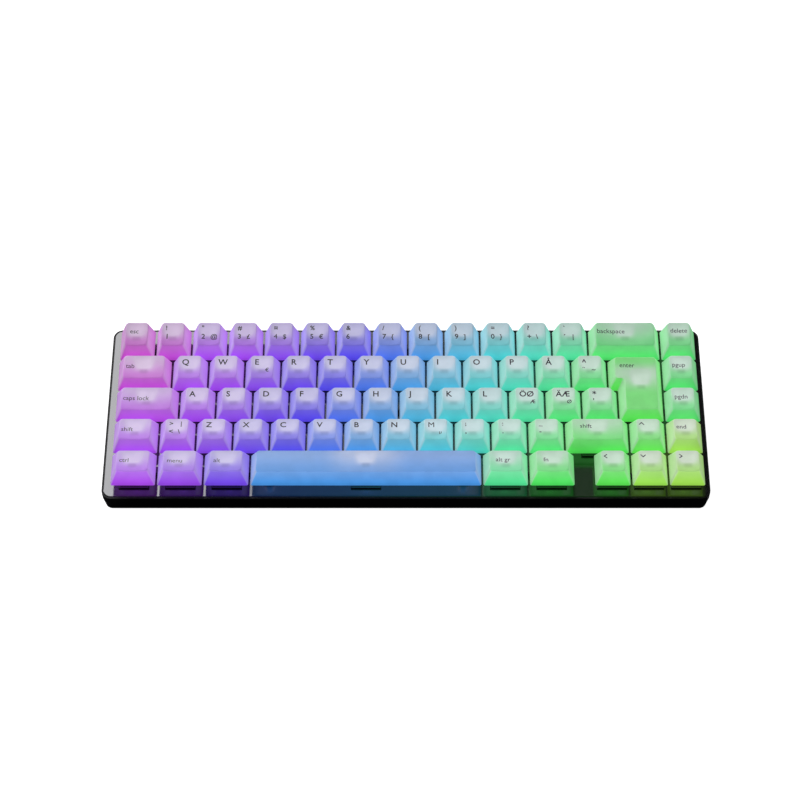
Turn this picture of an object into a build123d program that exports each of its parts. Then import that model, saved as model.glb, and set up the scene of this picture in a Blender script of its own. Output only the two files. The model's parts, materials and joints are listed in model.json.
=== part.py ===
from build123d import *
from collections import namedtuple
from math import asin, cos, degrees, radians, sin, tan
import os

# A compact 68-key backlit mechanical keyboard (ISO, 16 x 5 key grid). Millimetres.
#
# Almost everything is laid out in the plate's own frame: X to the right, Y to the back, Z out of
# the plate, Z = 0 on the plate's upper face, origin on the middle key row, halfway between the
# plate's sides. ON_DESK then tilts it to the typing angle. In the finished frame Z is up, the
# desk is Z = 0 and the origin is the point of the desk under the middle of the whole keyboard.

# ---- Key grid --------------------------------------------------------------------------------
PITCH = 19.05
GRID_COLUMNS = 16
MIDDLE_ROW = 2
# The key grid stands this far to the right of the middle of the plate.
GRID_SHIFT = 0.95
KEY_GAP = 0.9
TYPING_ANGLE = 6.0

# Rows from the back to the front. Each entry is the node a key belongs to and its width in
# pitches; an entry without a node is a gap in the row.
KEY_ROWS = (
    [("esc_key", 1)]
    + [("number_row_keys", 1)] * 12
    + [("backspace_key", 2), ("delete_key", 1)],
    [("tab_key", 1.5)]
    + [("top_letter_row_keys", 1)] * 12
    + [(None, 1.5), ("page_up_key", 1)],
    [("caps_lock_key", 1.75)]
    + [(f"{name}_key", 1) for name in "a s d f g h j k l o_slash ae apostrophe".split()]
    + [(None, 1.25), ("page_down_key", 1)],
    [("left_shift_key", 1.25)]
    + [(f"{name}_key", 1) for name in "less_than z x c v b n m".split()]
    + [("punctuation_keys", 1)] * 3
    + [("right_shift_key", 1.75), ("up_arrow_key", 1), ("end_key", 1)],
    [("left_ctrl_key", 1.25), ("menu_key", 1.25), ("alt_key", 1.25), ("space_bar", 6.25)]
    + [("alt_gr_key", 1.25), ("fn_key", 1.25), (None, 0.5)]
    + [("left_arrow_key", 1), ("down_arrow_key", 1), ("right_arrow_key", 1)],
)
# The L-shaped enter key stands over rows 1 and 2, flush with the column to its right.
ENTER_NODE = "enter_key"
ENTER_RIGHT_EDGE = 15
ENTER_UPPER_WIDTH = 1.5
ENTER_LOWER_WIDTH = 1.25

# ---- Key travel and keycaps ------------------------------------------------------------------
TRAVEL = 4.0
SKIRT_HEIGHT = 5.8
CAP_BASE_CORNER = 0.8
CAP_TOP_CORNER = 1.7
CAP_SIDE_INSET = 3.15
CAP_TOP_DEPTH = 14.0
CAP_TOP_SETBACK = 1.6
CAP_WALL = 1.3
CAP_ROOF = 1.35
CAP_DISH = 0.45
CAP_DISH_MARGIN = 0.3
# For each row, the height of the top's centre over the skirt and the angle it faces backwards.
CAP_TOPS = ((9.8, 0.0), (7.45, 2.5), (6.55, 5.0), (7.35, 11.5), (7.35, 11.5))
ENTER_TOP_HEIGHT = 7.15
ENTER_BACK_INSET = 1.4
ENTER_FRONT_INSET = 3.7
ENTER_DISH = 0.25
SPACE_BAR_CROWN = 0.6
POST_DIAMETER = 5.4
POST_BOTTOM = 6.5
CROSS_LENGTH = 4.05
CROSS_ARM_X = 1.25
CROSS_ARM_Y = 1.1
CROSS_TOP = 10.2
SOCKET_CLEARANCE = 0.05
SOCKET_HEADROOM = 0.25

# ---- Switches --------------------------------------------------------------------------------
SWITCH_CUTOUT = 14.0
HOUSING_BODY = 13.9
HOUSING_FLANGE = 15.6
FLANGE_TOP = 1.0
HOUSING_BOTTOM = -4.95
HOUSING_FLOOR = 1.05
SLIT = 0.02
SHAFT_WIDTH = 8.4
SHAFT_DEPTH = 6.6
UPPER_BASE = 14.8
UPPER_TOP_WIDTH = 10.4
UPPER_TOP_DEPTH = 9.8
UPPER_TOP = 6.6
UPPER_CEILING = 4.5
MOUTH_WIDTH = 7.1
MOUTH_DEPTH = 5.7
SLIDER_SHOULDER_WIDTH = 7.6
SLIDER_SHOULDER_DEPTH = 6.0
SLIDER_SHOULDER_TOP = 4.4
SLIDER_BOTTOM = 0.4
SLIDER_NECK_WIDTH = 6.8
SLIDER_NECK_DEPTH = 5.4
SLIDER_TOP = 6.3
SPRING_POCKET = 4.6
SPRING_POCKET_TOP = 5.3
GUIDE_PIN = 2.0
GUIDE_PIN_BOTTOM = -2.6
GUIDE_BORE = 2.2
GUIDE_TUBE = 2.9
GUIDE_TUBE_TOP = -2.1
LOCATING_POST = 3.9
LOCATING_POST_BOTTOM = -8.2
LOCATING_POST_FLOOR = 0.6
SPRING_OUTER = 4.1
SPRING_WIRE = 0.36
SPRING_TURNS = 6
SPRING_END_GAP = 0.03
LED_BACK_OFFSET = 5.05
LED_WINDOW_WIDTH = 5.6
LED_WINDOW_DEPTH = 2.9
LED_WIDTH = 3.2
LED_DEPTH = 2.4
LED_HEIGHT = 1.1

# ---- Stabilisers of the wide keys ------------------------------------------------------------
WIRE_DIAMETER = 1.5
WIRE_ARM = 9.0
WIRE_ARM_TAIL = 1.5
WIRE_AXIS_Z = -2.6
WIRE_BORE = 1.6
STAB_HALF_SPREAD = 11.94
SPACE_STAB_HALF_SPREAD = 50.0
STAB_HALF_WIDTH = 3.9
STAB_REAR = 4.2
STAB_FRONT = 10.8
STAB_BOTTOM = -4.7
STAB_TOP = 2.4
STAB_LIP = 0.4
STAB_LIP_TOP = 0.8
STAB_SLOT_WIDTH = 2.2
STAB_SLOT_TOP = 1.3
STAB_SLIDER_WIDTH = 5.2
STAB_SLIDER_DEPTH = 6.2
STAB_SLIDER_TOP = 5.0
STAB_SLIDER_CLEARANCE = 0.1
STAB_WIRE_WINDOW_WIDTH = 1.9
STAB_WIRE_WINDOW_HEIGHT = 3.0
STAB_SLIDER_SOLE = 0.9

# ---- Plate, board and case -------------------------------------------------------------------
PLATE_HALF_WIDTH = 155.3
PLATE_FRONT = -50.3
PLATE_BACK = 51.4
PLATE_CORNER = 4.1
PLATE_THICKNESS = 1.6
PLATE_CHAMFER = 0.3
BOARD_TOP = -5.0
BOARD_THICKNESS = 1.6
BOARD_INSET = 3.8
BOARD_POST_HOLE = 4.2
CASE_SEAM = 0.02
CASE_RIM = 0.9
CASE_RIM_TOP = -0.4
CASE_RIM_CLEARANCE = 0.05
CASE_BAND_BOTTOM = -5.0
CASE_FRONT_DEPTH = 12.2
CASE_TAPER = 8.0
CASE_LOFT_BOTTOM = -34.0
CASE_WALL = 2.5
CASE_FLOOR = 2.2
FOOT_PROUD = 1.0

# ---- Screws: one per entry, on a key row, at a boundary between two keys (in pitches) --------
SCREW_PLACES = (
    (0, 1),
    (0, 8),
    (0, 15),
    (2, 1.75),
    (2, 7.75),
    (2, 15),
    (4, 1.25),
    (4, 3.75),
    (4, 11.25),
    (4, 14),
)
SCREW_DIAMETER = 2.0
SCREW_HEAD = 3.2
SCREW_HEAD_HEIGHT = 1.0
SCREW_LENGTH = 9.0
SCREW_HOLE = 2.3
SCREW_DRIVE = 1.3
SCREW_DRIVE_DEPTH = 0.6
PILOT_HOLE = 2.08
PILOT_DEPTH = 9.5
BOSS_DIAMETER = 4.6
BOSS_HOLE = 5.2

# ---- Board components and the cable socket ---------------------------------------------------
USB_COLUMN = 3
USB_WIDTH = 8.94
USB_HEIGHT = 3.2
USB_DEPTH = 7.4
USB_SHELL = 0.3
USB_TONGUE_WIDTH = 6.6
USB_TONGUE_HEIGHT = 0.7
USB_TONGUE_SETBACK = 1.0
USB_MOUTH_Y = 48.4
PLUG_HOLE_WIDTH = 15.0
PLUG_HOLE_HEIGHT = 9.2
PLUG_HOLE_CORNER = 2.0
PLUG_HOLE_START_Y = 47.0
CHIP_SIZE = 7.0
CHIP_HEIGHT = 0.9
CHIP_PLACE = (-66.7, 28.6)
DRIVER_PLACES = ((-28.6, 28.6), (66.7, 28.6))
CRYSTAL_PLACE = (-80.0, 28.6)
DIODE_SIZE = (2.6, 1.4, 1.0)
DIODE_OFFSET = (5.2, -5.4)
RESET_BUTTON_PLACE = (-42.9, 28.6)

# ---- Feet ------------------------------------------------------------------------------------
PAD_LENGTH = 26.0
PAD_WIDTH = 8.0
PAD_RECESS = 0.5
PAD_CLEARANCE = 0.1
PAD_X = 128.0
FRONT_PAD_Y = -38.5
REAR_PAD_Y = 13.0
TILT_FOOT_X = 128.0
TILT_FOOT_AXIS_Y = 39.0
TILT_FOOT_AXIS_RISE = 2.0
TILT_FOOT_WIDTH = 24.0
TILT_FOOT_LENGTH = 13.0
TILT_FOOT_THICKNESS = 3.0
TILT_FOOT_SOLE = 0.4
TILT_FOOT_BARREL = 3.8
TILT_FOOT_PIN = 2.0
TILT_FOOT_PIN_LENGTH = 1.4
TILT_FOOT_PIN_CLEARANCE = 0.05
POCKET_CLEARANCE = 0.4
POCKET_WALL = 1.8
FINGER_NOTCH = 8.0

PAST_EVERYTHING = 400.0

Key = namedtuple("Key", "node row x y width")


def grid_x(columns):
    """X of a point so many pitches from the grid's left edge."""
    return (columns - GRID_COLUMNS / 2) * PITCH + GRID_SHIFT


def row_y(row):
    return (MIDDLE_ROW - row) * PITCH


def rectangular_keys():
    keys = []
    for row, entries in enumerate(KEY_ROWS):
        left = 0
        for node, width in entries:
            if node:
                keys.append(Key(node, row, grid_x(left + width / 2), row_y(row), width))
            left += width
    return keys


ENTER_X = grid_x(ENTER_RIGHT_EDGE - ENTER_LOWER_WIDTH / 2)
ENTER_Y = (row_y(1) + row_y(2)) / 2
KEYS = rectangular_keys()
BACKSPACE = next(key for key in KEYS if key.node == "backspace_key")
SPACE_BAR = next(key for key in KEYS if key.node == "space_bar")
SWITCH_PLACES = [(key.x, key.y) for key in KEYS] + [(ENTER_X, ENTER_Y)]
SCREWS = [(grid_x(columns), row_y(row)) for row, columns in SCREW_PLACES]

# A stabiliser unit is drawn with its wire's axis in front of it (-Y). The backspace key's units
# stand that way, the space bar's are turned to face backwards and the enter key's to the left.
SPACE_TURN = 180
ENTER_TURN = -90
BACKSPACE_UNITS = [
    Location((BACKSPACE.x + side * STAB_HALF_SPREAD, BACKSPACE.y, 0)) for side in (-1, 1)
]
SPACE_UNITS = [
    Location((SPACE_BAR.x + side * SPACE_STAB_HALF_SPREAD, SPACE_BAR.y, 0), (0, 0, SPACE_TURN))
    for side in (-1, 1)
]
ENTER_UNITS = [
    Location((ENTER_X, ENTER_Y + side * STAB_HALF_SPREAD, 0), (0, 0, ENTER_TURN))
    for side in (-1, 1)
]
STABILISER_UNITS = BACKSPACE_UNITS + SPACE_UNITS + ENTER_UNITS
STABILISED_KEYS = (
    (BACKSPACE.node, BACKSPACE_UNITS, 0),
    (SPACE_BAR.node, SPACE_UNITS, SPACE_TURN),
    (ENTER_NODE, ENTER_UNITS, ENTER_TURN),
)


def case_inset(depth):
    """How far the tapered lower wall has drawn in at a depth below the plate's upper face."""
    return max(0.0, depth + CASE_BAND_BOTTOM) * tan(radians(CASE_TAPER))


def desk_location():
    """Carries the plate's frame to the desk's, so that the case's base lies flat."""
    slope_sin = sin(radians(TYPING_ANGLE))
    slope_cos = cos(radians(TYPING_ANGLE))
    front_edge = (PLATE_FRONT - CASE_RIM) * slope_cos - CASE_RIM_TOP * slope_sin
    back_edge = (PLATE_BACK + CASE_RIM) * slope_cos - CASE_BAND_BOTTOM * slope_sin
    base_front = PLATE_FRONT - CASE_RIM + case_inset(CASE_FRONT_DEPTH)
    base_z = base_front * slope_sin - CASE_FRONT_DEPTH * slope_cos
    middle = (front_edge + back_edge) / 2
    return Location((0, -middle, FOOT_PROUD - base_z), (TYPING_ANGLE, 0, 0))


ON_DESK = desk_location()


def block(width, depth, bottom, top, x=0.0, y=0.0):
    return Pos(x, y, (bottom + top) / 2) * Box(width, depth, top - bottom)


def rod(diameter, bottom, top, x=0.0, y=0.0):
    return Pos(x, y, (bottom + top) / 2) * Cylinder(diameter / 2, top - bottom)


def copies(shape, places):
    return [shape.moved(Location((x, y, 0))) for x, y in places]


# ---- Keycaps ---------------------------------------------------------------------------------
def cap_top_plane(row, drop=0.0):
    height, lean = CAP_TOPS[row]
    return Plane(
        origin=(0, CAP_TOP_SETBACK, SKIRT_HEIGHT + height - drop),
        x_dir=(1, 0, 0),
        z_dir=(0, sin(radians(lean)), cos(radians(lean))),
    )


def cap_outside(row, base_width):
    base_depth = PITCH - KEY_GAP
    base = RectangleRounded(base_width, base_depth, CAP_BASE_CORNER)
    top = RectangleRounded(base_width - 2 * CAP_SIDE_INSET, CAP_TOP_DEPTH, CAP_TOP_CORNER)
    return loft([Plane.XY.offset(SKIRT_HEIGHT) * base, cap_top_plane(row) * top], ruled=True)


def cap_hollow(row, base_width):
    """The space under a cap: its walls follow the outside's slope, CAP_WALL further in."""
    height = CAP_TOPS[row][0]
    share = (height - CAP_ROOF) / height
    base_depth = PITCH - KEY_GAP
    front = -base_depth / 2 + (base_depth / 2 + CAP_TOP_SETBACK - CAP_TOP_DEPTH / 2) * share
    back = base_depth / 2 - (base_depth / 2 - CAP_TOP_SETBACK - CAP_TOP_DEPTH / 2) * share
    roof_width = base_width - 2 * CAP_SIDE_INSET * share - 2 * CAP_WALL
    roof_depth = back - front - 2 * CAP_WALL
    roof = Pos(0, (front + back) / 2 - CAP_TOP_SETBACK) * Rectangle(roof_width, roof_depth)
    base = Rectangle(base_width - 2 * CAP_WALL, base_depth - 2 * CAP_WALL)
    sections = [Plane.XY.offset(SKIRT_HEIGHT) * base, cap_top_plane(row, CAP_ROOF) * roof]
    return loft(sections, ruled=True)


def dish_tool(row, top_width):
    """A long cylinder whose underside presses CAP_DISH into the top."""
    half = top_width / 2 - CAP_DISH_MARGIN
    radius = (half**2 + CAP_DISH**2) / (2 * CAP_DISH)
    lying = Rot(90, 0, 0) * Cylinder(radius, 3 * CAP_TOP_DEPTH)
    return cap_top_plane(row) * Pos(0, 0, radius - CAP_DISH) * lying


def crown_tool(row):
    """A cylinder along the space bar whose upper side rounds its top over."""
    half = CAP_TOP_DEPTH / 2
    radius = (half**2 + SPACE_BAR_CROWN**2) / (2 * SPACE_BAR_CROWN)
    lying = Rot(0, 90, 0) * Cylinder(radius, PAST_EVERYTHING)
    return cap_top_plane(row) * Pos(0, 0, -radius) * lying


def cross(clearance, bottom, top):
    arm_x = block(CROSS_LENGTH + 2 * clearance, CROSS_ARM_X + 2 * clearance, bottom, top)
    arm_y = block(CROSS_ARM_Y + 2 * clearance, CROSS_LENGTH + 2 * clearance, bottom, top)
    return arm_x + arm_y


def with_sockets(shell, outside, places):
    """Adds a socket for a stem's cross at each place, from below up into the roof."""
    for x, y in places:
        post = rod(POST_DIAMETER, POST_BOTTOM, SKIRT_HEIGHT + CAP_TOPS[0][0], x, y)
        shell += post & outside
    for x, y in places:
        shell -= Pos(x, y, 0) * cross(SOCKET_CLEARANCE, POST_BOTTOM, CROSS_TOP + SOCKET_HEADROOM)
    return shell


def stabilised_places(key):
    if key.node == BACKSPACE.node:
        return [(side * STAB_HALF_SPREAD, 0) for side in (-1, 1)]
    if key.node == SPACE_BAR.node:
        return [(side * SPACE_STAB_HALF_SPREAD, 0) for side in (-1, 1)]
    return []


def rectangular_cap(key):
    base_width = key.width * PITCH - KEY_GAP
    outside = cap_outside(key.row, base_width)
    if key.node == SPACE_BAR.node:
        outside &= crown_tool(key.row)
    else:
        outside -= dish_tool(key.row, base_width - 2 * CAP_SIDE_INSET)
    shell = outside - cap_hollow(key.row, base_width)
    return with_sockets(shell, outside, [(0, 0)] + stabilised_places(key)).solid()


def enter_outline(left, step_left, right, front, step, back, corner):
    """The enter key's L: a wide rear half over a narrower front half."""
    corners = [
        (left, back),
        (left, step),
        (step_left, step),
        (step_left, front),
        (right, front),
        (right, back),
    ]
    outline = make_face(Polyline(*corners, close=True))
    return fillet(outline.vertices(), corner) if corner else outline


def enter_section(height, side, front, back, corner):
    """The L at a height over the skirt, drawn in by so much at its sides, fronts and back."""
    right = ENTER_LOWER_WIDTH / 2 * PITCH - KEY_GAP / 2 - side
    step_left = -ENTER_LOWER_WIDTH / 2 * PITCH + KEY_GAP / 2 + side
    left = step_left - (ENTER_UPPER_WIDTH - ENTER_LOWER_WIDTH) * PITCH
    outline = enter_outline(
        left,
        step_left,
        right,
        -PITCH + KEY_GAP / 2 + front,
        KEY_GAP / 2 + front,
        PITCH - KEY_GAP / 2 - back,
        corner,
    )
    return Plane.XY.offset(SKIRT_HEIGHT + height) * outline


def enter_cap():
    base = enter_section(0, 0, 0, 0, CAP_BASE_CORNER)
    top = enter_section(
        ENTER_TOP_HEIGHT, CAP_SIDE_INSET, ENTER_FRONT_INSET, ENTER_BACK_INSET, CAP_TOP_CORNER
    )
    outside = loft([base, top], ruled=True)
    half = ENTER_LOWER_WIDTH / 2 * PITCH - CAP_SIDE_INSET
    radius = (half**2 + ENTER_DISH**2) / (2 * ENTER_DISH)
    lying = Rot(90, 0, 0) * Cylinder(radius, 4 * PITCH)
    outside -= Pos(0, 0, SKIRT_HEIGHT + ENTER_TOP_HEIGHT - ENTER_DISH + radius) * lying
    share = (ENTER_TOP_HEIGHT - CAP_ROOF) / ENTER_TOP_HEIGHT
    hollow_base = enter_section(0, CAP_WALL, CAP_WALL, CAP_WALL, 0)
    hollow_roof = enter_section(
        ENTER_TOP_HEIGHT - CAP_ROOF,
        CAP_SIDE_INSET * share + CAP_WALL,
        ENTER_FRONT_INSET * share + CAP_WALL,
        ENTER_BACK_INSET * share + CAP_WALL,
        0,
    )
    shell = outside - loft([hollow_base, hollow_roof], ruled=True)
    places = [(0, 0)] + [(0, side * STAB_HALF_SPREAD) for side in (-1, 1)]
    return with_sockets(shell, outside, places).solid()


# ---- Switches --------------------------------------------------------------------------------
def switch_stem():
    shoulder = block(
        SLIDER_SHOULDER_WIDTH, SLIDER_SHOULDER_DEPTH, SLIDER_BOTTOM, SLIDER_SHOULDER_TOP
    )
    neck = block(SLIDER_NECK_WIDTH, SLIDER_NECK_DEPTH, SLIDER_SHOULDER_TOP, SLIDER_TOP)
    pocket = rod(SPRING_POCKET, SLIDER_BOTTOM, SPRING_POCKET_TOP)
    pin = rod(GUIDE_PIN, GUIDE_PIN_BOTTOM, SPRING_POCKET_TOP + SLIT)
    stem = shoulder + neck - pocket + pin + cross(0, SLIDER_TOP, CROSS_TOP)
    return stem.solid()


def lower_housing():
    """Stands in the plate's cut-out, with a spring seat, a guide tube and a window for the LED."""
    floor_top = HOUSING_BOTTOM + HOUSING_FLOOR
    body = block(HOUSING_BODY, HOUSING_BODY, HOUSING_BOTTOM, FLANGE_TOP)
    flange = block(HOUSING_FLANGE, HOUSING_FLANGE, SLIT, FLANGE_TOP)
    shaft = block(SHAFT_WIDTH, SHAFT_DEPTH, floor_top, FLANGE_TOP)
    window = block(
        LED_WINDOW_WIDTH, LED_WINDOW_DEPTH, HOUSING_BOTTOM, FLANGE_TOP, y=LED_BACK_OFFSET
    )
    post = rod(LOCATING_POST, LOCATING_POST_BOTTOM, floor_top)
    tube = rod(GUIDE_TUBE, floor_top, GUIDE_TUBE_TOP)
    bore = rod(GUIDE_BORE, LOCATING_POST_BOTTOM + LOCATING_POST_FLOOR, GUIDE_TUBE_TOP)
    return (body + flange - shaft - window + post + tube - bore).solid()


def upper_housing():
    base = Plane.XY.offset(FLANGE_TOP + SLIT) * Rectangle(UPPER_BASE, UPPER_BASE)
    top = Plane.XY.offset(UPPER_TOP) * Rectangle(UPPER_TOP_WIDTH, UPPER_TOP_DEPTH)
    shaft = block(SHAFT_WIDTH, SHAFT_DEPTH, FLANGE_TOP, UPPER_CEILING)
    mouth = block(MOUTH_WIDTH, MOUTH_DEPTH, UPPER_CEILING, UPPER_TOP)
    return (loft([base, top], ruled=True) - shaft - mouth).solid()


def switch_spring():
    """A coil of square-drawn wire between the lower housing's floor and the stem's pocket."""
    bottom = HOUSING_BOTTOM + HOUSING_FLOOR + SPRING_WIRE / 2 + SPRING_END_GAP
    top = SPRING_POCKET_TOP - SPRING_WIRE / 2 - SPRING_END_GAP
    radius = (SPRING_OUTER - SPRING_WIRE) / 2
    path = Helix((top - bottom) / SPRING_TURNS, top - bottom, radius)
    section = Plane(origin=path @ 0, z_dir=path % 0) * Rectangle(SPRING_WIRE, SPRING_WIRE)
    return Pos(0, 0, bottom) * sweep(section, path, is_frenet=True).solid()


def key_led():
    return block(
        LED_WIDTH, LED_DEPTH, BOARD_TOP, BOARD_TOP + LED_HEIGHT, y=LED_BACK_OFFSET
    )


# ---- Stabilisers -----------------------------------------------------------------------------
REST_ANGLE = degrees(asin(TRAVEL / 2 / WIRE_ARM))
WINDOW_MIDDLE_Z = WIRE_AXIS_Z + TRAVEL / 2


def stabiliser_slider(turn):
    """Carries one end of a wide cap; the wire's arm passes through its window."""
    bottom = WINDOW_MIDDLE_Z - STAB_WIRE_WINDOW_HEIGHT / 2 - STAB_SLIDER_SOLE
    body = block(STAB_SLIDER_WIDTH, STAB_SLIDER_DEPTH, bottom, STAB_SLIDER_TOP)
    window = Pos(0, 0, WINDOW_MIDDLE_Z) * Box(
        STAB_WIRE_WINDOW_WIDTH, 2 * STAB_SLIDER_DEPTH, STAB_WIRE_WINDOW_HEIGHT
    )
    slider = Rot(0, 0, turn) * (body - window) + cross(0, STAB_SLIDER_TOP, CROSS_TOP)
    return slider.solid()


def stabiliser_housing():
    length = STAB_FRONT + STAB_REAR
    middle = (STAB_REAR - STAB_FRONT) / 2
    below = block(2 * STAB_HALF_WIDTH, length, STAB_BOTTOM, STAB_LIP_TOP, y=middle)
    lip = block(2 * STAB_HALF_WIDTH, length + 2 * STAB_LIP, SLIT, STAB_LIP_TOP, y=middle)
    collar = block(2 * STAB_HALF_WIDTH, 2 * STAB_REAR, STAB_LIP_TOP, STAB_TOP)
    shaft = block(
        STAB_SLIDER_WIDTH + 2 * STAB_SLIDER_CLEARANCE,
        STAB_SLIDER_DEPTH + 2 * STAB_SLIDER_CLEARANCE,
        STAB_BOTTOM,
        STAB_TOP,
    )
    slot = block(STAB_SLOT_WIDTH, STAB_FRONT, STAB_BOTTOM, STAB_SLOT_TOP, y=-STAB_FRONT / 2)
    bore = Pos(0, -WIRE_ARM, WIRE_AXIS_Z) * Rot(0, 90, 0) * Cylinder(WIRE_BORE / 2, length)
    return (below + lip + collar - shaft - slot - bore).solid()


def stabiliser_wire(half_spread):
    """A bar along X at the origin with an arm at each end, raised to its angle at rest."""
    radius = WIRE_DIAMETER / 2
    bar = Rot(0, 90, 0) * Cylinder(radius, 2 * half_spread)
    wire = bar
    for side in (-1, 1):
        arm_length = WIRE_ARM + WIRE_ARM_TAIL
        arm = Rot(REST_ANGLE, 0, 0) * Pos(0, arm_length / 2, 0) * Rot(90, 0, 0)
        wire += Pos(side * half_spread, 0, 0) * arm * Cylinder(radius, arm_length)
        wire += Pos(side * half_spread, 0, 0) * Sphere(radius)
    return wire.solid()


def backspace_wire():
    place = Location((BACKSPACE.x, BACKSPACE.y - WIRE_ARM, WIRE_AXIS_Z))
    return stabiliser_wire(STAB_HALF_SPREAD).moved(place)


def space_bar_wire():
    place = Location((SPACE_BAR.x, SPACE_BAR.y + WIRE_ARM, WIRE_AXIS_Z), (0, 0, 180))
    return stabiliser_wire(SPACE_STAB_HALF_SPREAD).moved(place)


def enter_wire():
    place = Location((ENTER_X - WIRE_ARM, ENTER_Y, WIRE_AXIS_Z), (0, 0, -90))
    return stabiliser_wire(STAB_HALF_SPREAD).moved(place)


# ---- Plate and circuit board -----------------------------------------------------------------
def plate_outline(inset=0.0):
    width = 2 * (PLATE_HALF_WIDTH - inset)
    depth = PLATE_BACK - PLATE_FRONT - 2 * inset
    corner = max(PLATE_CORNER - inset, CAP_BASE_CORNER)
    return Pos(0, (PLATE_BACK + PLATE_FRONT) / 2) * RectangleRounded(width, depth, corner)


def turned(unit, x, y, shape):
    """A flat opening in a stabiliser unit's own frame, put where the unit stands."""
    return unit * Pos(x, y) * shape


def top_plate():
    length = STAB_FRONT + STAB_REAR + 2 * STAB_SLIDER_CLEARANCE
    middle = (STAB_REAR - STAB_FRONT) / 2
    width = 2 * (STAB_HALF_WIDTH + STAB_SLIDER_CLEARANCE)
    openings = [Pos(x, y) * Rectangle(SWITCH_CUTOUT, SWITCH_CUTOUT) for x, y in SWITCH_PLACES]
    openings += [
        turned(unit, 0, middle, Rectangle(width, length)) for unit in STABILISER_UNITS
    ]
    openings += [Pos(x, y) * Circle(SCREW_HOLE / 2) for x, y in SCREWS]
    rim = extrude(Plane.XY.offset(-PLATE_THICKNESS) * plate_outline(), PLATE_THICKNESS)
    rim = chamfer(rim.faces().sort_by(Axis.Z)[-1].edges(), PLATE_CHAMFER)
    cuts = extrude(Plane.XY.offset(-PLATE_THICKNESS) * Sketch(openings), PLATE_THICKNESS)
    return (rim - cuts).solid()


def circuit_board():
    bottom = BOARD_TOP - BOARD_THICKNESS
    relief_width = STAB_SLIDER_WIDTH + 4 * STAB_SLIDER_CLEARANCE
    relief_rear = STAB_SLIDER_DEPTH / 2 + 2 * STAB_SLIDER_CLEARANCE
    relief = Rectangle(relief_width, WIRE_ARM + relief_rear)
    relief_middle = (relief_rear - WIRE_ARM) / 2
    openings = [Pos(x, y) * Circle(BOARD_POST_HOLE / 2) for x, y in SWITCH_PLACES]
    openings += [turned(unit, 0, relief_middle, relief) for unit in STABILISER_UNITS]
    openings += [Pos(x, y) * Circle(BOSS_HOLE / 2) for x, y in SCREWS]
    board = extrude(Plane.XY.offset(bottom) * plate_outline(BOARD_INSET), BOARD_THICKNESS)
    return (board - extrude(Plane.XY.offset(bottom) * Sketch(openings), BOARD_THICKNESS)).solid()


def plate_screw():
    shank = rod(SCREW_DIAMETER, SCREW_HEAD_HEIGHT - SCREW_LENGTH, SLIT)
    head = rod(SCREW_HEAD, SLIT, SCREW_HEAD_HEIGHT)
    drive = extrude(
        Plane.XY.offset(SCREW_HEAD_HEIGHT - SCREW_DRIVE_DEPTH) * RegularPolygon(SCREW_DRIVE / 2, 6),
        SCREW_DRIVE_DEPTH,
    )
    return (shank + head - drive).solid()


# ---- Board components ------------------------------------------------------------------------
UNDERSIDE = BOARD_TOP - BOARD_THICKNESS


def under_board(width, depth, height, x, y):
    return block(width, depth, UNDERSIDE - height, UNDERSIDE, x, y)


def usb_receptacle():
    middle_z = UNDERSIDE - USB_HEIGHT / 2
    x = grid_x(USB_COLUMN)
    back_to_front = Location((x, USB_MOUTH_Y - USB_DEPTH / 2, middle_z), (90, 0, 0))
    shell = SlotOverall(USB_WIDTH, USB_HEIGHT)
    hollow = SlotOverall(USB_WIDTH - 2 * USB_SHELL, USB_HEIGHT - 2 * USB_SHELL)
    body = back_to_front * extrude(shell, USB_DEPTH / 2, both=True)
    room = Pos(0, USB_SHELL, 0) * back_to_front * extrude(hollow, USB_DEPTH / 2, both=True)
    tongue = Box(USB_TONGUE_WIDTH, USB_DEPTH - USB_TONGUE_SETBACK, USB_TONGUE_HEIGHT)
    tongue_y = USB_MOUTH_Y - (USB_DEPTH + USB_TONGUE_SETBACK) / 2
    return (body - room + Pos(x, tongue_y, middle_z) * tongue).solid()


def board_components():
    parts = [under_board(CHIP_SIZE, CHIP_SIZE, CHIP_HEIGHT, *CHIP_PLACE)]
    parts += [
        under_board(CHIP_SIZE, CHIP_SIZE, CHIP_HEIGHT, x, y) for x, y in DRIVER_PLACES
    ]
    parts.append(under_board(CHIP_SIZE / 2, CHIP_SIZE / 3, CHIP_HEIGHT, *CRYSTAL_PLACE))
    parts.append(under_board(CHIP_SIZE / 2, CHIP_SIZE / 2, 2 * CHIP_HEIGHT, *RESET_BUTTON_PLACE))
    parts.append(usb_receptacle())
    width, depth, height = DIODE_SIZE
    diode = under_board(width, depth, height, *DIODE_OFFSET)
    return parts + copies(diode, SWITCH_PLACES)


# ---- Case ------------------------------------------------------------------------------------
def tapered_body(inset, top):
    """A block under the plate: straight for the upper band, then drawn in towards the base."""
    narrowing = -(CASE_LOFT_BOTTOM - CASE_BAND_BOTTOM) * tan(radians(CASE_TAPER))
    outline = plate_outline(inset - CASE_RIM)
    band = extrude(Plane.XY.offset(CASE_BAND_BOTTOM) * outline, top - CASE_BAND_BOTTOM)
    upper = Plane.XY.offset(CASE_BAND_BOTTOM) * outline
    lower = Plane.XY.offset(CASE_LOFT_BOTTOM) * plate_outline(inset - CASE_RIM + narrowing)
    return band + loft([upper, lower], ruled=True)


def above(height):
    return block(PAST_EVERYTHING, PAST_EVERYTHING, height, PAST_EVERYTHING)


def pad_places():
    return [(side * PAD_X, y) for side in (-1, 1) for y in (FRONT_PAD_Y, REAR_PAD_Y)]


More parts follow.
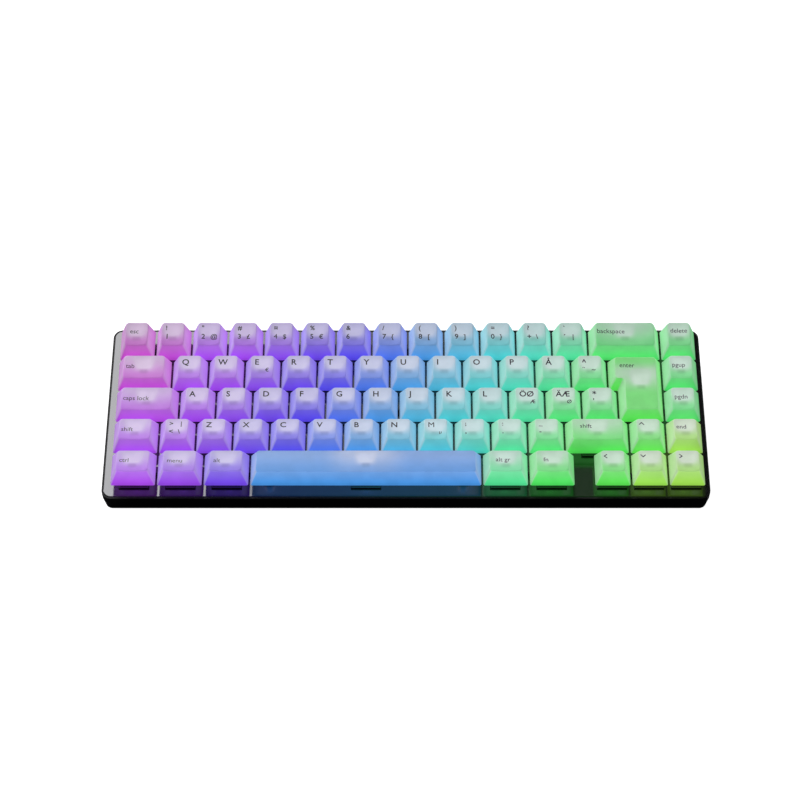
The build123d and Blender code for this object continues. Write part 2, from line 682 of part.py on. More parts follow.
def pocket_size():
    width = TILT_FOOT_WIDTH + 2 * POCKET_CLEARANCE
    rear = TILT_FOOT_AXIS_Y + TILT_FOOT_BARREL / 2 + POCKET_CLEARANCE
    front = TILT_FOOT_AXIS_Y - TILT_FOOT_LENGTH - POCKET_CLEARANCE
    roof = FOOT_PROUD + TILT_FOOT_AXIS_RISE + TILT_FOOT_BARREL / 2 + POCKET_CLEARANCE
    return width, front, rear, roof


def foot_pocket(side):
    """The hollow a folded tilt foot lies in, with a notch for a finger in front of its tip."""
    width, front, rear, roof = pocket_size()
    x = side * TILT_FOOT_X
    hollow = block(width, rear - front, 0, roof, x, (rear + front) / 2)
    notch = rod(FINGER_NOTCH, 0, roof - POCKET_WALL, x, front)
    axis_z = FOOT_PROUD + TILT_FOOT_AXIS_RISE
    pin_span = TILT_FOOT_WIDTH + 2 * (TILT_FOOT_PIN_LENGTH + POCKET_CLEARANCE)
    bore = Cylinder(TILT_FOOT_PIN / 2 + TILT_FOOT_PIN_CLEARANCE, pin_span)
    return hollow + notch + Pos(x, TILT_FOOT_AXIS_Y, axis_z) * Rot(0, 90, 0) * bore


def foot_pocket_walls(side):
    width, front, rear, roof = pocket_size()
    wall = TILT_FOOT_PIN_LENGTH + 2 * POCKET_WALL
    return block(
        width + 2 * wall,
        rear - front + 2 * POCKET_WALL + FINGER_NOTCH,
        FOOT_PROUD,
        roof + POCKET_WALL,
        side * TILT_FOOT_X,
        (rear + front - FINGER_NOTCH) / 2,
    )


def tilt_foot(side):
    """A flap on two stub pins that folds flat and stands the rear of the case up."""
    axis_z = FOOT_PROUD + TILT_FOOT_AXIS_RISE
    x = side * TILT_FOOT_X
    sole = FOOT_PROUD + TILT_FOOT_SOLE
    flap = block(
        TILT_FOOT_WIDTH,
        TILT_FOOT_LENGTH,
        sole,
        sole + TILT_FOOT_THICKNESS,
        x,
        TILT_FOOT_AXIS_Y - TILT_FOOT_LENGTH / 2,
    )
    turn = Pos(x, TILT_FOOT_AXIS_Y, axis_z) * Rot(0, 90, 0)
    barrel = turn * Cylinder(TILT_FOOT_BARREL / 2, TILT_FOOT_WIDTH)
    pins = turn * Cylinder(TILT_FOOT_PIN / 2, TILT_FOOT_WIDTH + 2 * TILT_FOOT_PIN_LENGTH)
    return (flap + barrel + pins).solid()


def rubber_foot(clearance, top):
    outline = SlotOverall(PAD_LENGTH + 2 * clearance, PAD_WIDTH + 2 * clearance)
    return extrude(outline, top)


def plug_hole():
    """Lets a cable's plug through the rear wall to the socket, grip and all."""
    middle_z = UNDERSIDE - USB_HEIGHT / 2
    turn = Location((grid_x(USB_COLUMN), PLUG_HOLE_START_Y, middle_z), (90, 0, 0))
    outline = RectangleRounded(PLUG_HOLE_WIDTH, PLUG_HOLE_HEIGHT, PLUG_HOLE_CORNER)
    return turn * extrude(outline, PLUG_HOLE_START_Y - PAST_EVERYTHING)


def bottom_case():
    top = -PLATE_THICKNESS - CASE_SEAM
    outside = tapered_body(0, CASE_RIM_TOP).moved(ON_DESK) & above(FOOT_PROUD)
    inside = tapered_body(CASE_WALL, CASE_RIM_TOP).moved(ON_DESK) & above(FOOT_PROUD + CASE_FLOOR)
    seat = extrude(Plane.XY.offset(top) * plate_outline(-CASE_RIM_CLEARANCE), PLATE_THICKNESS)
    shell = outside - inside - seat.moved(ON_DESK)
    for x, y in SCREWS:
        boss = rod(BOSS_DIAMETER, CASE_LOFT_BOTTOM, top, x, y).moved(ON_DESK)
        shell += boss & above(FOOT_PROUD + CASE_FLOOR / 2)
        shell -= rod(PILOT_HOLE, top - PILOT_DEPTH, top, x, y).moved(ON_DESK)
    for side in (-1, 1):
        shell += foot_pocket_walls(side)
    for side in (-1, 1):
        shell -= foot_pocket(side)
    recess = rubber_foot(PAD_CLEARANCE, FOOT_PROUD + PAD_RECESS)
    for x, y in pad_places():
        shell -= Pos(x, y, 0) * recess
    shell -= plug_hole().moved(ON_DESK)
    return shell.solid()


# ---- Putting it together ---------------------------------------------------------------------
def key_nodes():
    """Each key's node holds its cap, the switch stem it sits on and any stabiliser sliders."""
    stem = switch_stem()
    caps = {}
    nodes = {}
    for key in KEYS:
        shape = (key.row, key.width)
        if shape not in caps:
            caps[shape] = rectangular_cap(key)
        pieces = nodes.setdefault(key.node, [])
        pieces += copies(caps[shape], [(key.x, key.y)]) + copies(stem, [(key.x, key.y)])
    nodes[ENTER_NODE] = copies(enter_cap(), [(ENTER_X, ENTER_Y)])
    nodes[ENTER_NODE] += copies(stem, [(ENTER_X, ENTER_Y)])
    for node, units, turn in STABILISED_KEYS:
        slider = stabiliser_slider(turn)
        nodes[node] += copies(slider, [(unit.position.X, unit.position.Y) for unit in units])
    return nodes


def plate_frame_nodes():
    nodes = key_nodes()
    nodes["top_plate"] = [top_plate()]
    nodes["circuit_board"] = [circuit_board()]
    nodes["board_components"] = board_components()
    nodes["switch_lower_housings"] = copies(lower_housing(), SWITCH_PLACES)
    nodes["switch_upper_housings"] = copies(upper_housing(), SWITCH_PLACES)
    nodes["switch_springs"] = copies(switch_spring(), SWITCH_PLACES)
    nodes["key_leds"] = copies(key_led(), SWITCH_PLACES)
    nodes["stabiliser_housings"] = [stabiliser_housing().moved(u) for u in STABILISER_UNITS]
    nodes["backspace_wire"] = [backspace_wire()]
    nodes["enter_wire"] = [enter_wire()]
    nodes["space_bar_wire"] = [space_bar_wire()]
    nodes["plate_screws"] = copies(plate_screw(), SCREWS)
    return nodes


def desk_frame_nodes():
    pad = rubber_foot(0, FOOT_PROUD + PAD_RECESS).solid()
    return {
        "bottom_case": [bottom_case()],
        "rubber_feet": copies(pad, pad_places()),
        "left_tilt_foot": [tilt_foot(-1)],
        "right_tilt_foot": [tilt_foot(1)],
    }


os.makedirs("parts", exist_ok=True)
finished = {
    node: [piece.moved(ON_DESK) for piece in pieces]
    for node, pieces in plate_frame_nodes().items()
}
finished.update(desk_frame_nodes())
for node, pieces in finished.items():
    shape = pieces[0] if len(pieces) == 1 else Compound(children=pieces)
    export_step(shape, f"parts/{node}.step")
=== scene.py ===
import bmesh
import bpy
import json
import math
from mathutils import Matrix, Vector


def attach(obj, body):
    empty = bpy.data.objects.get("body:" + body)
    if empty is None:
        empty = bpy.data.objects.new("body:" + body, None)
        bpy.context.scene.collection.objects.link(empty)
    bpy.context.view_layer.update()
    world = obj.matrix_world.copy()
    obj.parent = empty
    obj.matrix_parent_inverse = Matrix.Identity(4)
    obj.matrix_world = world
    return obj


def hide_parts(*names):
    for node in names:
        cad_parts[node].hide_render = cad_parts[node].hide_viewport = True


# A compact backlit mechanical keyboard. The CAD frame carries the plate, the case, the switches and
# everything inside; this script gives them their materials and builds the frosted keycaps with
# their printed legends. Lengths are in millimetres, in the plate's own frame, until place() puts
# them in the frame's metres.

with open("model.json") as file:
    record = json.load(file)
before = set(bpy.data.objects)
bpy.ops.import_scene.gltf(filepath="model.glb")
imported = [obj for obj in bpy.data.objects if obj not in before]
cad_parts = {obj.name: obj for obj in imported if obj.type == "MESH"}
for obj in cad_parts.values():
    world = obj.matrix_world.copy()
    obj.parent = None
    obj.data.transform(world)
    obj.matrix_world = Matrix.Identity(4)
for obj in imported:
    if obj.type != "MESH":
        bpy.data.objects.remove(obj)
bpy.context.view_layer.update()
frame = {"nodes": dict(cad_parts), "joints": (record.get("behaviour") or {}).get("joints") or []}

MM = 0.001
PITCH = 19.05
GRID_COLUMNS = 16
MIDDLE_ROW = 2
FRONT_ROW = 4
A_KEY_COLUMN = 2.25

# ---- Keycap shape ----------------------------------------------------------------------------
KEY_GAP = 0.9
SKIRT_HEIGHT = 5.8
BASE_CORNER = 0.9
TOP_CORNER = 1.9
SIDE_INSET = 3.15
TOP_DEPTH = 14.0
TOP_SETBACK = 1.6
WALL = 1.3
ROOF = 1.35
DISH = 0.45
DISH_MARGIN = 0.3
EDGE_ROUND = 0.55
LIP_ROUND = 0.25
# For each row, the height of the top's centre over the skirt and the angle it faces backwards.
CAP_TOPS = ((9.8, 0.0), (7.45, 2.5), (6.55, 5.0), (7.35, 11.5), (7.35, 11.5))
SPACE_BAR_CROWN = 0.6
ENTER_TOP_HEIGHT = 7.15
ENTER_BACK_INSET = 1.4
ENTER_FRONT_INSET = 3.7
ENTER_DISH = 0.25
ENTER_LOWER_WIDTH = 1.25
ENTER_UPPER_WIDTH = 1.5
ENTER_RIGHT_EDGE = 15
POST_OUTER = 2.7
POST_INNER = 2.15
POST_BOTTOM = 6.5

# ---- Stems, as far as they show under a raised cap -------------------------------------------
STEM_TOP = 10.2
STEM_SHOULDER_TOP = 4.4
STEM_NECK_TOP = 6.3
STEM_BOTTOM = 0.4
STEM_SHOULDER = (7.6, 6.0)
STEM_NECK = (6.8, 5.4)
STEM_CROSS = (4.05, 1.2)
STEM_POCKET = 4.6
STEM_POCKET_TOP = 5.3
STEM_PIN = 2.0
STEM_PIN_BOTTOM = -2.6
STEM_SIDE_STEPS = 6
STAB_HALF_SPREAD = 11.94
SPACE_STAB_HALF_SPREAD = 50.0
STAB_SLIDER = (5.2, 6.2)
STAB_SLIDER_BOTTOM = -3.0
STAB_SLIDER_TOP = 5.0

# ---- Legends: height of the font, and the left edge and baseline on the key's top ------------
LEGEND_THICKNESS = 0.02
LEGEND_LIFT = 0.03
LEGEND_WEIGHT = 0.015
LEGEND_WIDTH = 0.95
LETTER = (4.9, -4.0, 2.85)
UPPER = (3.9, -3.9, 3.95)
DIGIT = (4.2, -3.9, -1.5)
THIRD = (3.9, 0.8, -1.5)
UPPER_RIGHT = (3.9, 1.8, 3.95)
MARK = (3.2, 1.6, -1.6)
WORD_SIZE = 3.8
CHEVRON_SPAN = 1.45
CHEVRON_RISE = 0.85
CHEVRON_STROKE = 0.55


# Rows from the back to the front: name, body the key rides on, width in pitches, legends.
def number_key(name, upper, digit, third=""):
    return (name, "number_row_keys", 1, ((upper, UPPER), (digit, DIGIT), (third, THIRD)))


def letter_key(name, body, letter, mark=""):
    return (name, body, 1, ((letter, LETTER), (mark, MARK)))


def word_key(name, body, width, word, left, baseline):
    return (name, body, width, ((word, (WORD_SIZE, left, baseline)),))


def home_keys(letters):
    return [letter_key(letter.lower(), f"{letter.lower()}_key", letter) for letter in letters]


def punctuation_key(name, upper, lower):
    return (name, "punctuation_keys", 1, ((upper, UPPER), (lower, DIGIT)))


# An arrow key's legend is a turn in degrees and the place of its chevron's middle.
KEY_ROWS = (
    [
        word_key("esc", "esc_key", 1, "esc", -3.6, 1.9),
        number_key("one", "!", "1"),
        number_key("two", '"', "2", "@"),
        number_key("three", "#", "3", "£"),
        number_key("four", "¤", "4", "$"),
        number_key("five", "%", "5", "€"),
        number_key("six", "&", "6"),
        number_key("seven", "/", "7", "{"),
        number_key("eight", "(", "8", "["),
        number_key("nine", ")", "9", "]"),
        number_key("zero", "=", "0", "}"),
        number_key("plus", "?", "+", "\\"),
        number_key("acute", "`", "´", "|"),
        word_key("backspace", "backspace_key", 2, "backspace", -14.7, 1.9),
        word_key("delete", "delete_key", 1, "delete", -4.6, 2.3),
    ],
    [word_key("tab", "tab_key", 1.5, "tab", -9.4, 0.6)]
    + [
        letter_key(letter.lower(), "top_letter_row_keys", letter, "€" if letter == "E" else "")
        for letter in "QWERTYUIOP"
    ]
    + [
        letter_key("a_ring", "top_letter_row_keys", "Å"),
        ("circumflex", "top_letter_row_keys", 1, (("^", LETTER), ("¨", DIGIT), ("~", THIRD))),
        (None, None, 1.5, ()),
        word_key("page_up", "page_up_key", 1, "pgup", -4.6, 1.5),
    ],
    [word_key("caps_lock", "caps_lock_key", 1.75, "caps lock", -12.2, 0.45)]
    + home_keys("ASDFGHJKL")
    + [
        letter_key("o_slash", "o_slash_key", "ÖØ", "Æ"),
        letter_key("ae", "ae_key", "ÄÆ", "Ø"),
        ("apostrophe", "apostrophe_key", 1, (("*", LETTER), ("'", DIGIT))),
        (None, None, 1.25, ()),
        word_key("page_down", "page_down_key", 1, "pgdn", -4.4, 1.5),
    ],
    [
        word_key("left_shift", "left_shift_key", 1.25, "shift", -7.05, 0.1),
        (
            "less_than",
            "less_than_key",
            1,
            ((">", UPPER), ("<", DIGIT), ("|", UPPER_RIGHT), ("\\", THIRD)),
        ),
    ]
    + home_keys("ZXCVBN")
    + [
        letter_key("m", "m_key", "M", "µ"),
        punctuation_key("comma", ";", ","),
        punctuation_key("period", ":", "."),
        punctuation_key("minus", "_", "-"),
        word_key("right_shift", "right_shift_key", 1.75, "shift", -9.0, 2.4),
        ("up_arrow", "up_arrow_key", 1, ((0, (-3.3, 5.5)),)),
        word_key("end", "end_key", 1, "end", -4.7, 1.9),
    ],
    [
        word_key("left_ctrl", "left_ctrl_key", 1.25, "ctrl", -6.9, 0.75),
        word_key("menu", "menu_key", 1.25, "menu", -6.4, 0.5),
        word_key("alt", "alt_key", 1.25, "alt", -6.4, 0.6),
        ("space", "space_bar", 6.25, ()),
        word_key("alt_gr", "alt_gr_key", 1.25, "alt gr", -5.2, 1.2),
        word_key("fn", "fn_key", 1.25, "fn", -4.6, 1.2),
        (None, None, 0.5, ()),
        ("left_arrow", "left_arrow_key", 1, ((90, (-3.9, 4.7)),)),
        ("down_arrow", "down_arrow_key", 1, ((180, (-3.5, 4.7)),)),
        ("right_arrow", "right_arrow_key", 1, ((-90, (-3.1, 4.8)),)),
    ],
)
ENTER_LEGEND = (("enter", (WORD_SIZE, -10.8, 10.7)),)


# ---- The plate's frame -----------------------------------------------------------------------
def grid_x(columns):
    """X of a point so many pitches from the grid's left edge; the grid's middle is zero."""
    return (columns - GRID_COLUMNS / 2) * PITCH


def row_y(row):
    return (MIDDLE_ROW - row) * PITCH


def plate_matrix():
    """From the plate's frame in millimetres to the CAD frame in metres."""
    press = Vector(next(j for j in frame["joints"] if j["name"] == "a_key_press")["axis"])
    out = -press
    right = Vector((1, 0, 0))
    back = out.cross(right)
    plate = [v.co for v in frame["nodes"]["top_plate"].data.vertices]
    middle_key = [v.co for v in frame["nodes"]["a_key"].data.vertices]
    surface = max(out.dot(co) for co in plate)
    skirt = [co for co in middle_key if out.dot(co) < surface + (SKIRT_HEIGHT + 1) * MM]
    along = [back.dot(co) for co in skirt]
    across = [co.x for co in skirt]
    grid_middle = (max(across) + min(across)) / 2 - grid_x(A_KEY_COLUMN) * MM
    origin = out * surface + back * (max(along) + min(along)) / 2 + right * grid_middle
    axes = Matrix((right, back, out)).transposed().to_4x4()
    return Matrix.Translation(origin) @ axes @ Matrix.Scale(MM, 4)


PLATE = plate_matrix()
OUT = (PLATE.to_3x3() @ Vector((0, 0, 1))).normalized()
BACK = (PLATE.to_3x3() @ Vector((0, 1, 0))).normalized()


# ---- Rings: closed outlines with the same number of points, which are bridged into a skin ----
CORNER_STEPS = 5
SIDE_STEP = 2.4


def corner_arc(before, corner, after, radius):
    """Points round a corner of a polygon, from its incoming to its outgoing edge."""
    into = (corner - before).normalized()
    out = (after - corner).normalized()
    start = corner - into * radius
    middle = start + out * radius
    spokes = [start - middle, corner + out * radius - middle]
    points = []
    for i in range(CORNER_STEPS + 1):
        turn = i / CORNER_STEPS * math.pi / 2
        points.append(middle + spokes[0] * math.cos(turn) + spokes[1] * math.sin(turn))
    return points


def outline(corners, radius, steps):
    """A right-angled polygon with rounded corners; steps says how each side is divided."""
    corners = [Vector(c) for c in corners]
    count = len(corners)
    arcs = [
        corner_arc(corners[i - 1], corners[i], corners[(i + 1) % count], radius)
        for i in range(count)
    ]
    points = []
    for i in range(count):
        points += arcs[i]
        start, end = arcs[i][-1], arcs[(i + 1) % count][0]
        points += [start.lerp(end, k / steps[i]) for k in range(1, steps[i])]
    return points


def side_steps(corners):
    corners = [Vector(c) for c in corners]
    count = len(corners)
    lengths = [(corners[(i + 1) % count] - corners[i]).length for i in range(count)]
    return [max(2, round(length / SIDE_STEP)) for length in lengths]


class Skin:
    """Collects rings of points with a material for each band between them."""

    def __init__(self):
        self.mesh = bmesh.new()

    def ring(self, points):
        return [self.mesh.verts.new(p) for p in points]

    def band(self, lower, upper, material=0):
        count = len(lower)
        for i in range(count):
            j = (i + 1) % count
            face = self.mesh.faces.new((lower[i], lower[j], upper[j], upper[i]))
            face.material_index = material
            face.smooth = True

    def loft(self, rings, material=0, smooth=True):
        made = [self.ring(points) for points in rings]
        for lower, upper in zip(made, made[1:]):
            self.band(lower, upper, material)
        return made

    def cap(self, ring, material=0, flip=False):
        face = self.mesh.faces.new(list(reversed(ring)) if flip else ring)
        face.material_index = material
        face.smooth = True

    def prism(self, size, bottom, top, x=0.0, y=0.0, material=0):
        """A closed block, for the plain pieces that stand under a cap."""
        corners = [(-1, -1), (1, -1), (1, 1), (-1, 1)]
        rings = [
            [Vector((x + sx * size[0] / 2, y + sy * size[1] / 2, z)) for sx, sy in corners]
            for z in (bottom, top)
        ]
        made = self.loft(rings, material)
        self.cap(made[0], material, flip=True)
        self.cap(made[1], material)


def bezier_rings(a, b, c, steps):
    """Rings that turn smoothly from ring a to ring c round the sharp edge b."""
    rings = []
    for k in range(1, steps + 1):
        t = k / steps
        rings.append(
            [pa * (1 - t) ** 2 + pb * 2 * t * (1 - t) + pc * t**2 for pa, pb, pc in zip(a, b, c)]
        )
    return rings


TOP_RINGS = (0.93, 0.84, 0.72, 0.58, 0.42, 0.26, 0.1)
SIDE_RINGS = (0.12, 0.3, 0.5, 0.7, 0.86)
ROUND_STEPS = 4


class CapForm:
    """Where a cap's surface runs: its outline at any height and the shape of its top."""

    def __init__(self, section, height, lean, centre, dish, half, crown=0.0):
        self.section = section
        self.height = height
        self.lean = math.radians(lean)
        self.centre = centre
        self.dish = dish
        self.half = half
        self.crown = crown

    def top_z(self, x, y):
        """Height of the finished top over the plate at a point of the cap."""
        plane = SKIRT_HEIGHT + self.height - (y - TOP_SETBACK) * math.tan(self.lean)
        hollow = self.dish * max(0.0, 1 - (x / self.half) ** 2) if self.dish else 0.0
        rise = self.crown * ((y - TOP_SETBACK) / (TOP_DEPTH / 2)) ** 2
        return plane - hollow - rise

    def at(self, share, corner, inset=0.0):
        """The outline a share of the way from the skirt to the top's flat plane."""
        points = self.section(share, corner, inset)
        height = [self.height - (p.y - TOP_SETBACK) * math.tan(self.lean) for p in points]
        return [Vector((p.x, p.y, SKIRT_HEIGHT + share * h)) for p, h in zip(points, height)]

    def on_top(self, points):
        return [Vector((p.x, p.y, self.top_z(p.x, p.y))) for p in points]


def rectangular_form(row, width, crown=0.0):
    height, lean = CAP_TOPS[row]
    half_x = (width * PITCH - KEY_GAP) / 2
    half_y = (PITCH - KEY_GAP) / 2
    reach = TOP_DEPTH / 2 * math.cos(math.radians(lean))
    front_inset = half_y + TOP_SETBACK - reach
    back_inset = half_y - TOP_SETBACK - reach
    steps = side_steps([(-half_x, half_y), (-half_x, -half_y), (half_x, -half_y), (half_x, half_y)])

    def section(share, corner, inset):
        x = half_x - SIDE_INSET * share - inset
        front = -half_y + front_inset * share + inset
        back = half_y - back_inset * share - inset
        return outline([(-x, back), (-x, front), (x, front), (x, back)], corner, steps)

    dish = 0.0 if crown else DISH
    half = half_x - SIDE_INSET - DISH_MARGIN
    return CapForm(section, height, lean, Vector((0, TOP_SETBACK)), dish, half, crown)


def enter_form():
    """The enter key's L: a wide rear half over a narrower front half."""
    right = ENTER_LOWER_WIDTH / 2 * PITCH - KEY_GAP / 2
    step_left = -right
    left = step_left - (ENTER_UPPER_WIDTH - ENTER_LOWER_WIDTH) * PITCH
    back = PITCH - KEY_GAP / 2

    def corners(share, inset):
        side = SIDE_INSET * share + inset
        forward = ENTER_FRONT_INSET * share + inset
        rear = back - ENTER_BACK_INSET * share - inset
        return [
            (left + side, rear),
            (left + side, KEY_GAP / 2 + forward),
            (step_left + side, KEY_GAP / 2 + forward),
            (step_left + side, -back + forward),
            (right - side, -back + forward),
            (right - side, rear),
        ]

    steps = side_steps(corners(0, 0))

    def section(share, corner, inset):
        return outline(corners(share, inset), corner, steps)

    half = right - SIDE_INSET
    form = CapForm(section, ENTER_TOP_HEIGHT, 0.0, Vector((0.8, PITCH / 2)), ENTER_DISH, half)
    return form


def cap_skin(skin, form):
    """The frosted shell: outside, rounded top edge, dished top, lip and hollow underside."""
    def corner_at(share):
        return BASE_CORNER + (TOP_CORNER - BASE_CORNER) * share

    edge = 1 - EDGE_ROUND / form.height
    lip_start = form.at(LIP_ROUND / form.height, BASE_CORNER)
    skirt = form.at(0, BASE_CORNER)
    lip_end = form.at(0, BASE_CORNER, LIP_ROUND)
    outside = [form.at(share, corner_at(share)) for share in SIDE_RINGS]
    rim_start = form.at(edge, corner_at(edge))
    rim = form.on_top(form.section(1, TOP_CORNER, 0))
    rim_end = form.on_top(form.section(1, TOP_CORNER, EDGE_ROUND))
    centre = Vector((form.centre.x, form.centre.y, 0))
    top = []
    for share in TOP_RINGS:
        shrunk = [centre + (Vector((p.x, p.y, 0)) - centre) * share for p in rim_end]
        top.append(form.on_top(shrunk))
    under_share = (form.height - ROOF) / form.height
    hollow_lip = form.at(0, BASE_CORNER / 2, WALL)
    hollow_roof = form.at(under_share, TOP_CORNER / 2, WALL)
    under = [
        [Vector((centre.x, centre.y, p.z)).lerp(p, share) for p in hollow_roof]
        for share in (0.5, 0.1)
    ]
    for ring in under:
        for p in ring:
            p.z = SKIRT_HEIGHT + under_share * (
                form.height - (p.y - TOP_SETBACK) * math.tan(form.lean)
            )
    rings = [list(reversed(under))[0], list(reversed(under))[1], hollow_roof, hollow_lip]
    rings += [lip_end] + bezier_rings(lip_end, skirt, lip_start, ROUND_STEPS)
    rings += outside + [rim_start] + bezier_rings(rim_start, rim, rim_end, ROUND_STEPS) + top
    made = skin.loft(rings)
    skin.cap(made[0], flip=True)
    skin.cap(made[-1])


POST_STEPS = 20


def post_skin(skin, form, x, y):
    """The socket under a cap: a closed tube from POST_BOTTOM up into the roof."""
    roof = form.top_z(x, y) - ROOF / 2
    def circle(radius, z):
        return [
            Vector((x + radius * math.cos(a), y + radius * math.sin(a), z))
            for a in (math.tau * k / POST_STEPS for k in range(POST_STEPS))
        ]
    rings = [
        circle(POST_INNER, roof),
        circle(POST_INNER, POST_BOTTOM),
        circle(POST_OUTER, POST_BOTTOM),
        circle(POST_OUTER, roof),
    ]
    made = skin.loft(rings)
    skin.band(made[3], made[0])


def box_ring(size):
    """Points round a rectangle, equally many on each side."""
    signs = ((-1, -1), (1, -1), (1, 1), (-1, 1))
    corners = [Vector((sx * size[0] / 2, sy * size[1] / 2)) for sx, sy in signs]
    steps = range(STEM_SIDE_STEPS)
    return [
        corners[k].lerp(corners[(k + 1) % 4], j / STEM_SIDE_STEPS) for k in range(4) for j in steps
    ]


def stem_skin(skin):
    """A switch's stem: a shouldered block with the spring's pocket and the guide pin in it."""
    shoulder, neck = box_ring(STEM_SHOULDER), box_ring(STEM_NECK)
    pocket = [p.normalized() * STEM_POCKET / 2 for p in shoulder]
    pin = [p.normalized() * STEM_PIN / 2 for p in shoulder]
    block = (
        (pocket, STEM_POCKET_TOP),
        (pocket, STEM_BOTTOM),
        (shoulder, STEM_BOTTOM),
        (shoulder, STEM_SHOULDER_TOP),
        (neck, STEM_SHOULDER_TOP),
        (neck, STEM_NECK_TOP),
    )
    rod = ((pin, STEM_PIN_BOTTOM), (pin, (STEM_POCKET_TOP + STEM_NECK_TOP) / 2))
    for levels in (block, rod):
        made = skin.loft([[Vector((p.x, p.y, z)) for p in ring] for ring, z in levels], 1)
        skin.cap(made[0], 1, flip=True)
        skin.cap(made[-1], 1)
    cross_skin(skin, 0, 0, STEM_NECK_TOP)


def cross_skin(skin, x, y, bottom):
    length, arm = STEM_CROSS
    half, thick = length / 2, arm / 2
    path = [
        (half, -thick), (half, thick), (thick, thick), (thick, half), (-thick, half),
        (-thick, thick), (-half, thick), (-half, -thick), (-thick, -thick), (-thick, -half),
        (thick, -half), (thick, -thick),
    ]
    rings = [[Vector((x + px, y + py, z)) for px, py in path] for z in (bottom, STEM_TOP)]
    made = skin.loft(rings, material=1)
    skin.cap(made[0], 1, flip=True)
    skin.cap(made[1], 1)


def slider_skin(skin, x, y):
    skin.prism(STAB_SLIDER, STAB_SLIDER_BOTTOM, STAB_SLIDER_TOP, x, y, material=1)
    cross_skin(skin, x, y, STAB_SLIDER_TOP)


# ---- Materials -------------------------------------------------------------------------------
def srgb(red, green, blue):
    """A colour given as it looks on a screen, in the linear values a shader wants."""
    def linear(value):
        share = value / 255
        return share / 12.92 if share <= 0.04045 else ((share + 0.055) / 1.055) ** 2.4
    return (linear(red), linear(green), linear(blue), 1.0)


class Graph:
    """Short names for building a material's nodes."""

    def __init__(self, name, tree=None):
        if tree is None:
            self.material = bpy.data.materials.new(name)
            self.material.use_nodes = True
            tree = self.material.node_tree
            self.shader = tree.nodes["Principled BSDF"]
        self.tree = tree

    def node(self, kind, **settings):
        made = self.tree.nodes.new(kind)
        for key, value in settings.items():
            setattr(made, key, value)
        return made

    def put(self, value, socket):
        if isinstance(value, bpy.types.NodeSocket):
            self.tree.links.new(value, socket)
        else:
            socket.default_value = value

    def math(self, operation, *values, clamp=False):
        made = self.node("ShaderNodeMath", operation=operation, use_clamp=clamp)
        for value, socket in zip(values, made.inputs):
            self.put(value, socket)
        return made.outputs[0]

    def product(self, first, *others):
        for other in others:
            first = self.math("MULTIPLY", first, other)
        return first

    def number_mix(self, share, first, second):
        made = self.node("ShaderNodeMix", data_type="FLOAT")
        for value, socket in zip((share, first, second), (0, 2, 3)):
            self.put(value, made.inputs[socket])
        return made.outputs[0]

    def smooth(self, value, low, high, start=0.0, end=1.0):
        """start below low, end above high, and a smooth turn between them."""
        made = self.node("ShaderNodeMapRange", interpolation_type="SMOOTHSTEP")
        for setting, socket in zip((value, low, high, start, end), made.inputs):
            self.put(setting, socket)
        return made.outputs[0]

    def split(self, vector):
        made = self.node("ShaderNodeSeparateXYZ")
        self.put(vector, made.inputs[0])
        return made.outputs

    def dot(self, vector, direction):
        made = self.node("ShaderNodeVectorMath", operation="DOT_PRODUCT")
        self.put(vector, made.inputs[0])
        self.put(tuple(direction), made.inputs[1])
        return made.outputs["Value"]

    def mix(self, share, first, second):
        made = self.node("ShaderNodeMix", data_type="RGBA")
        self.put(share, made.inputs["Factor"])
        self.put(first, made.inputs["A"])
        self.put(second, made.inputs["B"])
        return made.outputs["Result"]

    def shaded(self, colour, factor):
        made = self.node("ShaderNodeMix", data_type="RGBA", blend_type="MULTIPLY")
        made.inputs["Factor"].default_value = 1.0
        self.put(colour, made.inputs["A"])
        self.put(factor, made.inputs["B"])
        return made.outputs["Result"]

    def ramp(self, value, stops):
        made = self.node("ShaderNodeValToRGB")
        elements = made.color_ramp.elements
        while len(elements) < len(stops):
            elements.new(0.5)
        for element, (position, colour) in zip(elements, stops):
            element.position = position
            element.color = colour
        self.put(value, made.inputs[0])
        return made.outputs[0]

    def noise(self, scale, detail=3.0, roughness=0.5, stretch=None):
        place = self.node("ShaderNodeTexCoord").outputs["Object"]
        if stretch:
            mapping = self.node("ShaderNodeMapping")
            mapping.inputs["Scale"].default_value = stretch
            self.put(place, mapping.inputs["Vector"])
            place = mapping.outputs[0]
        made = self.node("ShaderNodeTexNoise")
        made.inputs["Scale"].default_value = scale
        made.inputs["Detail"].default_value = detail
        made.inputs["Roughness"].default_value = roughness
        self.put(place, made.inputs["Vector"])
        return made.outputs["Fac"]

    def bump(self, height, strength, distance):
        made = self.node("ShaderNodeBump")
        made.inputs["Strength"].default_value = strength
        made.inputs["Distance"].default_value = distance
        self.put(height, made.inputs["Height"])
        self.put(made.outputs[0], self.shader.inputs["Normal"])

    def set(self, **inputs):
        for name, value in inputs.items():
            self.put(value, self.shader.inputs[name.replace("_", " ")])


# The backlight runs through the rainbow from the back left corner to the front right one. Places
# are millimetres to the right of the grid's centre, plus BACKLIGHT_SLANT for every row forward.
BACKLIGHT_SLANT = 11.0
BACKLIGHT_REACH = 190.0
BACKLIGHT = (
    (-143, srgb(198, 65, 200)),
    (-124, srgb(196, 68, 210)),
    (-106, srgb(172, 74, 234)),
    (-88, srgb(166, 66, 233)),
    (-67, srgb(141, 70, 229)),
    (-48, srgb(110, 66, 229)),
    (-29, srgb(84, 64, 229)),
    (-10, srgb(72, 115, 229)),
    (9, srgb(66, 153, 223)),
    (29, srgb(72, 183, 217)),
    (48, srgb(66, 204, 209)),
    (67, srgb(72, 214, 191)),
    (86, srgb(76, 222, 160)),
    (104, srgb(79, 225, 121)),
    (112, srgb(76, 223, 108)),
    (120, srgb(72, 225, 84)),
    (160, srgb(92, 226, 76)),
    (169, srgb(158, 222, 76)),
)
